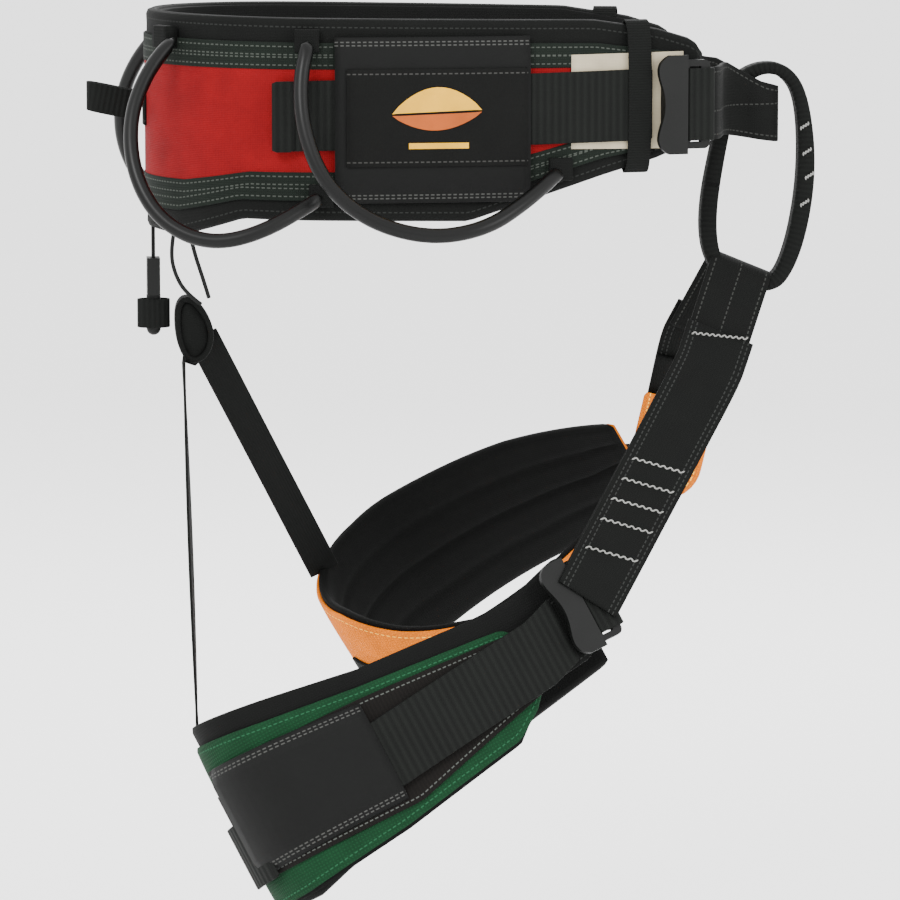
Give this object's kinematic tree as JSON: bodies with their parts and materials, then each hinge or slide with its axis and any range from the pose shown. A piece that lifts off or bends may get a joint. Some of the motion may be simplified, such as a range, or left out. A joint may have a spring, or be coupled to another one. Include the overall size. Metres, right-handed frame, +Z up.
{
  "type": "tree climbing saddle",
  "caption": "Padded waist belt and two padded leg loops of webbing, joined by a sewn belay loop, with gear loops and adjustable buckles.",
  "frame": {"origin": "middle of the waist opening, level with the belt's webbing", "axes": "+X towards the wearer's front, +Y towards the wearer's left, +Z up"},
  "size_m": [0.4539, 0.3773, 0.5478],
  "materials": {
    "black_binding": "matte",
    "black_cord": "matte",
    "black_elastic": "matte",
    "black_mesh": "matte",
    "black_plastic": "satin",
    "black_satin": "satin",
    "black_tube": "semi-gloss",
    "black_webbing": "matte",
    "cream_tag": "matte",
    "dark_backing": "matte",
    "green_black_webbing": "matte",
    "green_fabric": "matte",
    "label_cloth": "matte",
    "orange_fabric": "matte",
    "red_fabric": "matte"
  },
  "bodies": {
    "waist_belt": {"elastic_keeper_left": "black_elastic", "elastic_keeper_right": "black_elastic", "gear_loop_anchors": "black_webbing", "haul_anchor": "black_webbing", "info_tag": "cream_tag", "keeper_cord_slack": "black_cord", "keeper_cord_taut": "black_cord", "label_left": "label_cloth", "label_right": "label_cloth", "red_panel": "red_fabric", "sleeve_left": "black_satin", "sleeve_right": "black_satin", "trim_lower": "green_black_webbing", "trim_upper": "green_black_webbing", "waist_buckle_frame_left": "black_plastic", "waist_buckle_frame_right": "black_plastic", "waist_liner": "black_mesh", "waist_pad": "black_binding", "waist_strap_wrap_left": "black_webbing", "waist_strap_wrap_right": "black_webbing", "waist_web": "black_webbing"},
    "front_strap": {"front_strap": "black_webbing"},
    "belay_loop": {"belay_loop": "black_webbing"},
    "leg_bridge": {"leg_bridge": "black_webbing"},
    "haul_loop": {"haul_loop": "black_webbing"},
    "rear_drop": {"drop_strap": "black_webbing", "drop_hook": "black_plastic", "riser_loop": "black_webbing"},
    "waist_tail_right": {"waist_tail_right": "black_webbing"},
    "waist_buckle_plate_right": {"waist_buckle_plate_right": "black_plastic"},
    "leg_buckle_plate_right": {"leg_buckle_plate_right": "black_plastic"},
    "gear_loop_rear_right": {"gear_loop_rear_right": "black_tube"},
    "gear_loop_front_right": {"gear_loop_front_right": "black_tube"},
    "right_leg": {"leg_backing_right": "dark_backing", "leg_buckle_frame_right": "black_plastic", "leg_liner_right": "black_mesh", "leg_pocket_right": "black_satin", "leg_shell_right": "green_fabric", "leg_strap_right": "black_webbing", "leg_strap_wrap_right": "black_webbing", "leg_tail_right": "black_webbing", "leg_web_right": "black_webbing", "riser_right": "black_webbing", "riser_junction": "black_webbing"},
    "waist_tail_left": {"waist_tail_left": "black_webbing"},
    "waist_buckle_plate_left": {"waist_buckle_plate_left": "black_plastic"},
    "leg_buckle_plate_left": {"leg_buckle_plate_left": "black_plastic"},
    "gear_loop_rear_left": {"gear_loop_rear_left": "black_tube"},
    "gear_loop_front_left": {"gear_loop_front_left": "black_tube"},
    "left_leg": {"leg_backing_left": "dark_backing", "leg_buckle_frame_left": "black_plastic", "leg_liner_left": "black_mesh", "leg_pocket_left": "black_satin", "leg_shell_left": "orange_fabric", "leg_strap_left": "black_webbing", "leg_strap_wrap_left": "black_webbing", "leg_tail_left": "black_webbing", "leg_web_left": "black_webbing", "riser_left": "black_webbing"}
  },
  "joints": [
    {"name": "front_slide", "type": "slide", "parent": "waist_belt", "child": "front_strap", "axis": [1, 0, 0], "range_m": [0, 0.015]},
    {"name": "tail_right_run", "type": "hinge", "parent": "waist_belt", "child": "waist_tail_right", "pos_m": [-0.067, 0.694, 0], "axis": [0, 0, 1], "range_deg": [0, 1.2]},
    {"name": "tail_left_run", "type": "hinge", "parent": "waist_belt", "child": "waist_tail_left", "pos_m": [-0.067, -0.694, 0], "axis": [0, 0, -1], "range_deg": [0, 1.2]},
    {"name": "waist_plate_right_tilt", "type": "hinge", "parent": "waist_belt", "child": "waist_buckle_plate_right", "pos_m": [0.15146, -0.08526, 0.005], "axis": [0, 0, 1], "range_deg": [0, 20]},
    {"name": "waist_plate_left_tilt", "type": "hinge", "parent": "waist_belt", "child": "waist_buckle_plate_left", "pos_m": [0.15146, 0.08526, 0.005], "axis": [0, 0, -1], "range_deg": [0, 20]},
    {"name": "gear_rear_right_swing", "type": "hinge", "parent": "waist_belt", "child": "gear_loop_rear_right", "pos_m": [-0.1585, -0.0685, 0.046], "axis": [-0.6362, 0.3567, 0.6841], "range_deg": [0, 45]},
    {"name": "gear_rear_left_swing", "type": "hinge", "parent": "waist_belt", "child": "gear_loop_rear_left", "pos_m": [-0.1585, 0.0685, 0.046], "axis": [0.6362, 0.3567, -0.6841], "range_deg": [0, 45]},
    {"name": "gear_front_right_swing", "type": "hinge", "parent": "waist_belt", "child": "gear_loop_front_right", "pos_m": [-0.08, -0.116, 0.046], "axis": [-0.8864, -0.0695, 0.4577], "range_deg": [0, 45]},
    {"name": "gear_front_left_swing", "type": "hinge", "parent": "waist_belt", "child": "gear_loop_front_left", "pos_m": [-0.08, 0.116, 0.046], "axis": [0.8864, -0.0695, -0.4577], "range_deg": [0, 45]},
    {"name": "haul_swing", "type": "hinge", "parent": "waist_belt", "child": "haul_loop", "pos_m": [-0.178, 0, 0.004], "axis": [0, 0, 1], "range_deg": [-50, 50]},
    {"name": "rear_drop_swing", "type": "hinge", "parent": "waist_belt", "child": "rear_drop", "pos_m": [-0.1695, 0, -0.076], "axis": [0, 1, 0], "range_deg": [0, 40]},
    {"name": "belay_swing", "type": "hinge", "parent": "front_strap", "child": "belay_loop", "pos_m": [0.215, 0, -0.003], "axis": [0, 1, 0], "range_deg": [-40, 0]},
    {"name": "bridge_roll", "type": "hinge", "parent": "belay_loop", "child": "leg_bridge", "pos_m": [0.1932, 0, -0.11], "axis": [0.9255, 0, -0.3788], "range_deg": [-3, 10]},
    {"name": "right_leg_swing", "type": "hinge", "parent": "leg_bridge", "child": "right_leg", "pos_m": [0.18083, -0.02935, -0.14022], "axis": [-0.9255, 0, 0.3788], "range_deg": [0, 30]},
    {"name": "leg_plate_right_tilt", "type": "hinge", "parent": "right_leg", "child": "leg_buckle_plate_right", "pos_m": [0.08559, -0.11559, -0.29525], "axis": [-0.449, 0.2494, 0.858], "range_deg": [0, 20]},
    {"name": "left_leg_swing", "type": "hinge", "parent": "leg_bridge", "child": "left_leg", "pos_m": [0.18295, 0.03458, -0.13505], "axis": [0.9255, 0, -0.3788], "range_deg": [0, 30]},
    {"name": "leg_plate_left_tilt", "type": "hinge", "parent": "left_leg", "child": "leg_buckle_plate_left", "pos_m": [0.13023, 0.14588, -0.25255], "axis": [0.4604, 0.4404, -0.7707], "range_deg": [0, 20]}
  ],
  "couplings": [
    {"joint": "tail_right_run", "follows": "front_slide", "rad_per_m": 1.245},
    {"joint": "tail_left_run", "follows": "front_slide", "rad_per_m": 1.245}
  ]
}
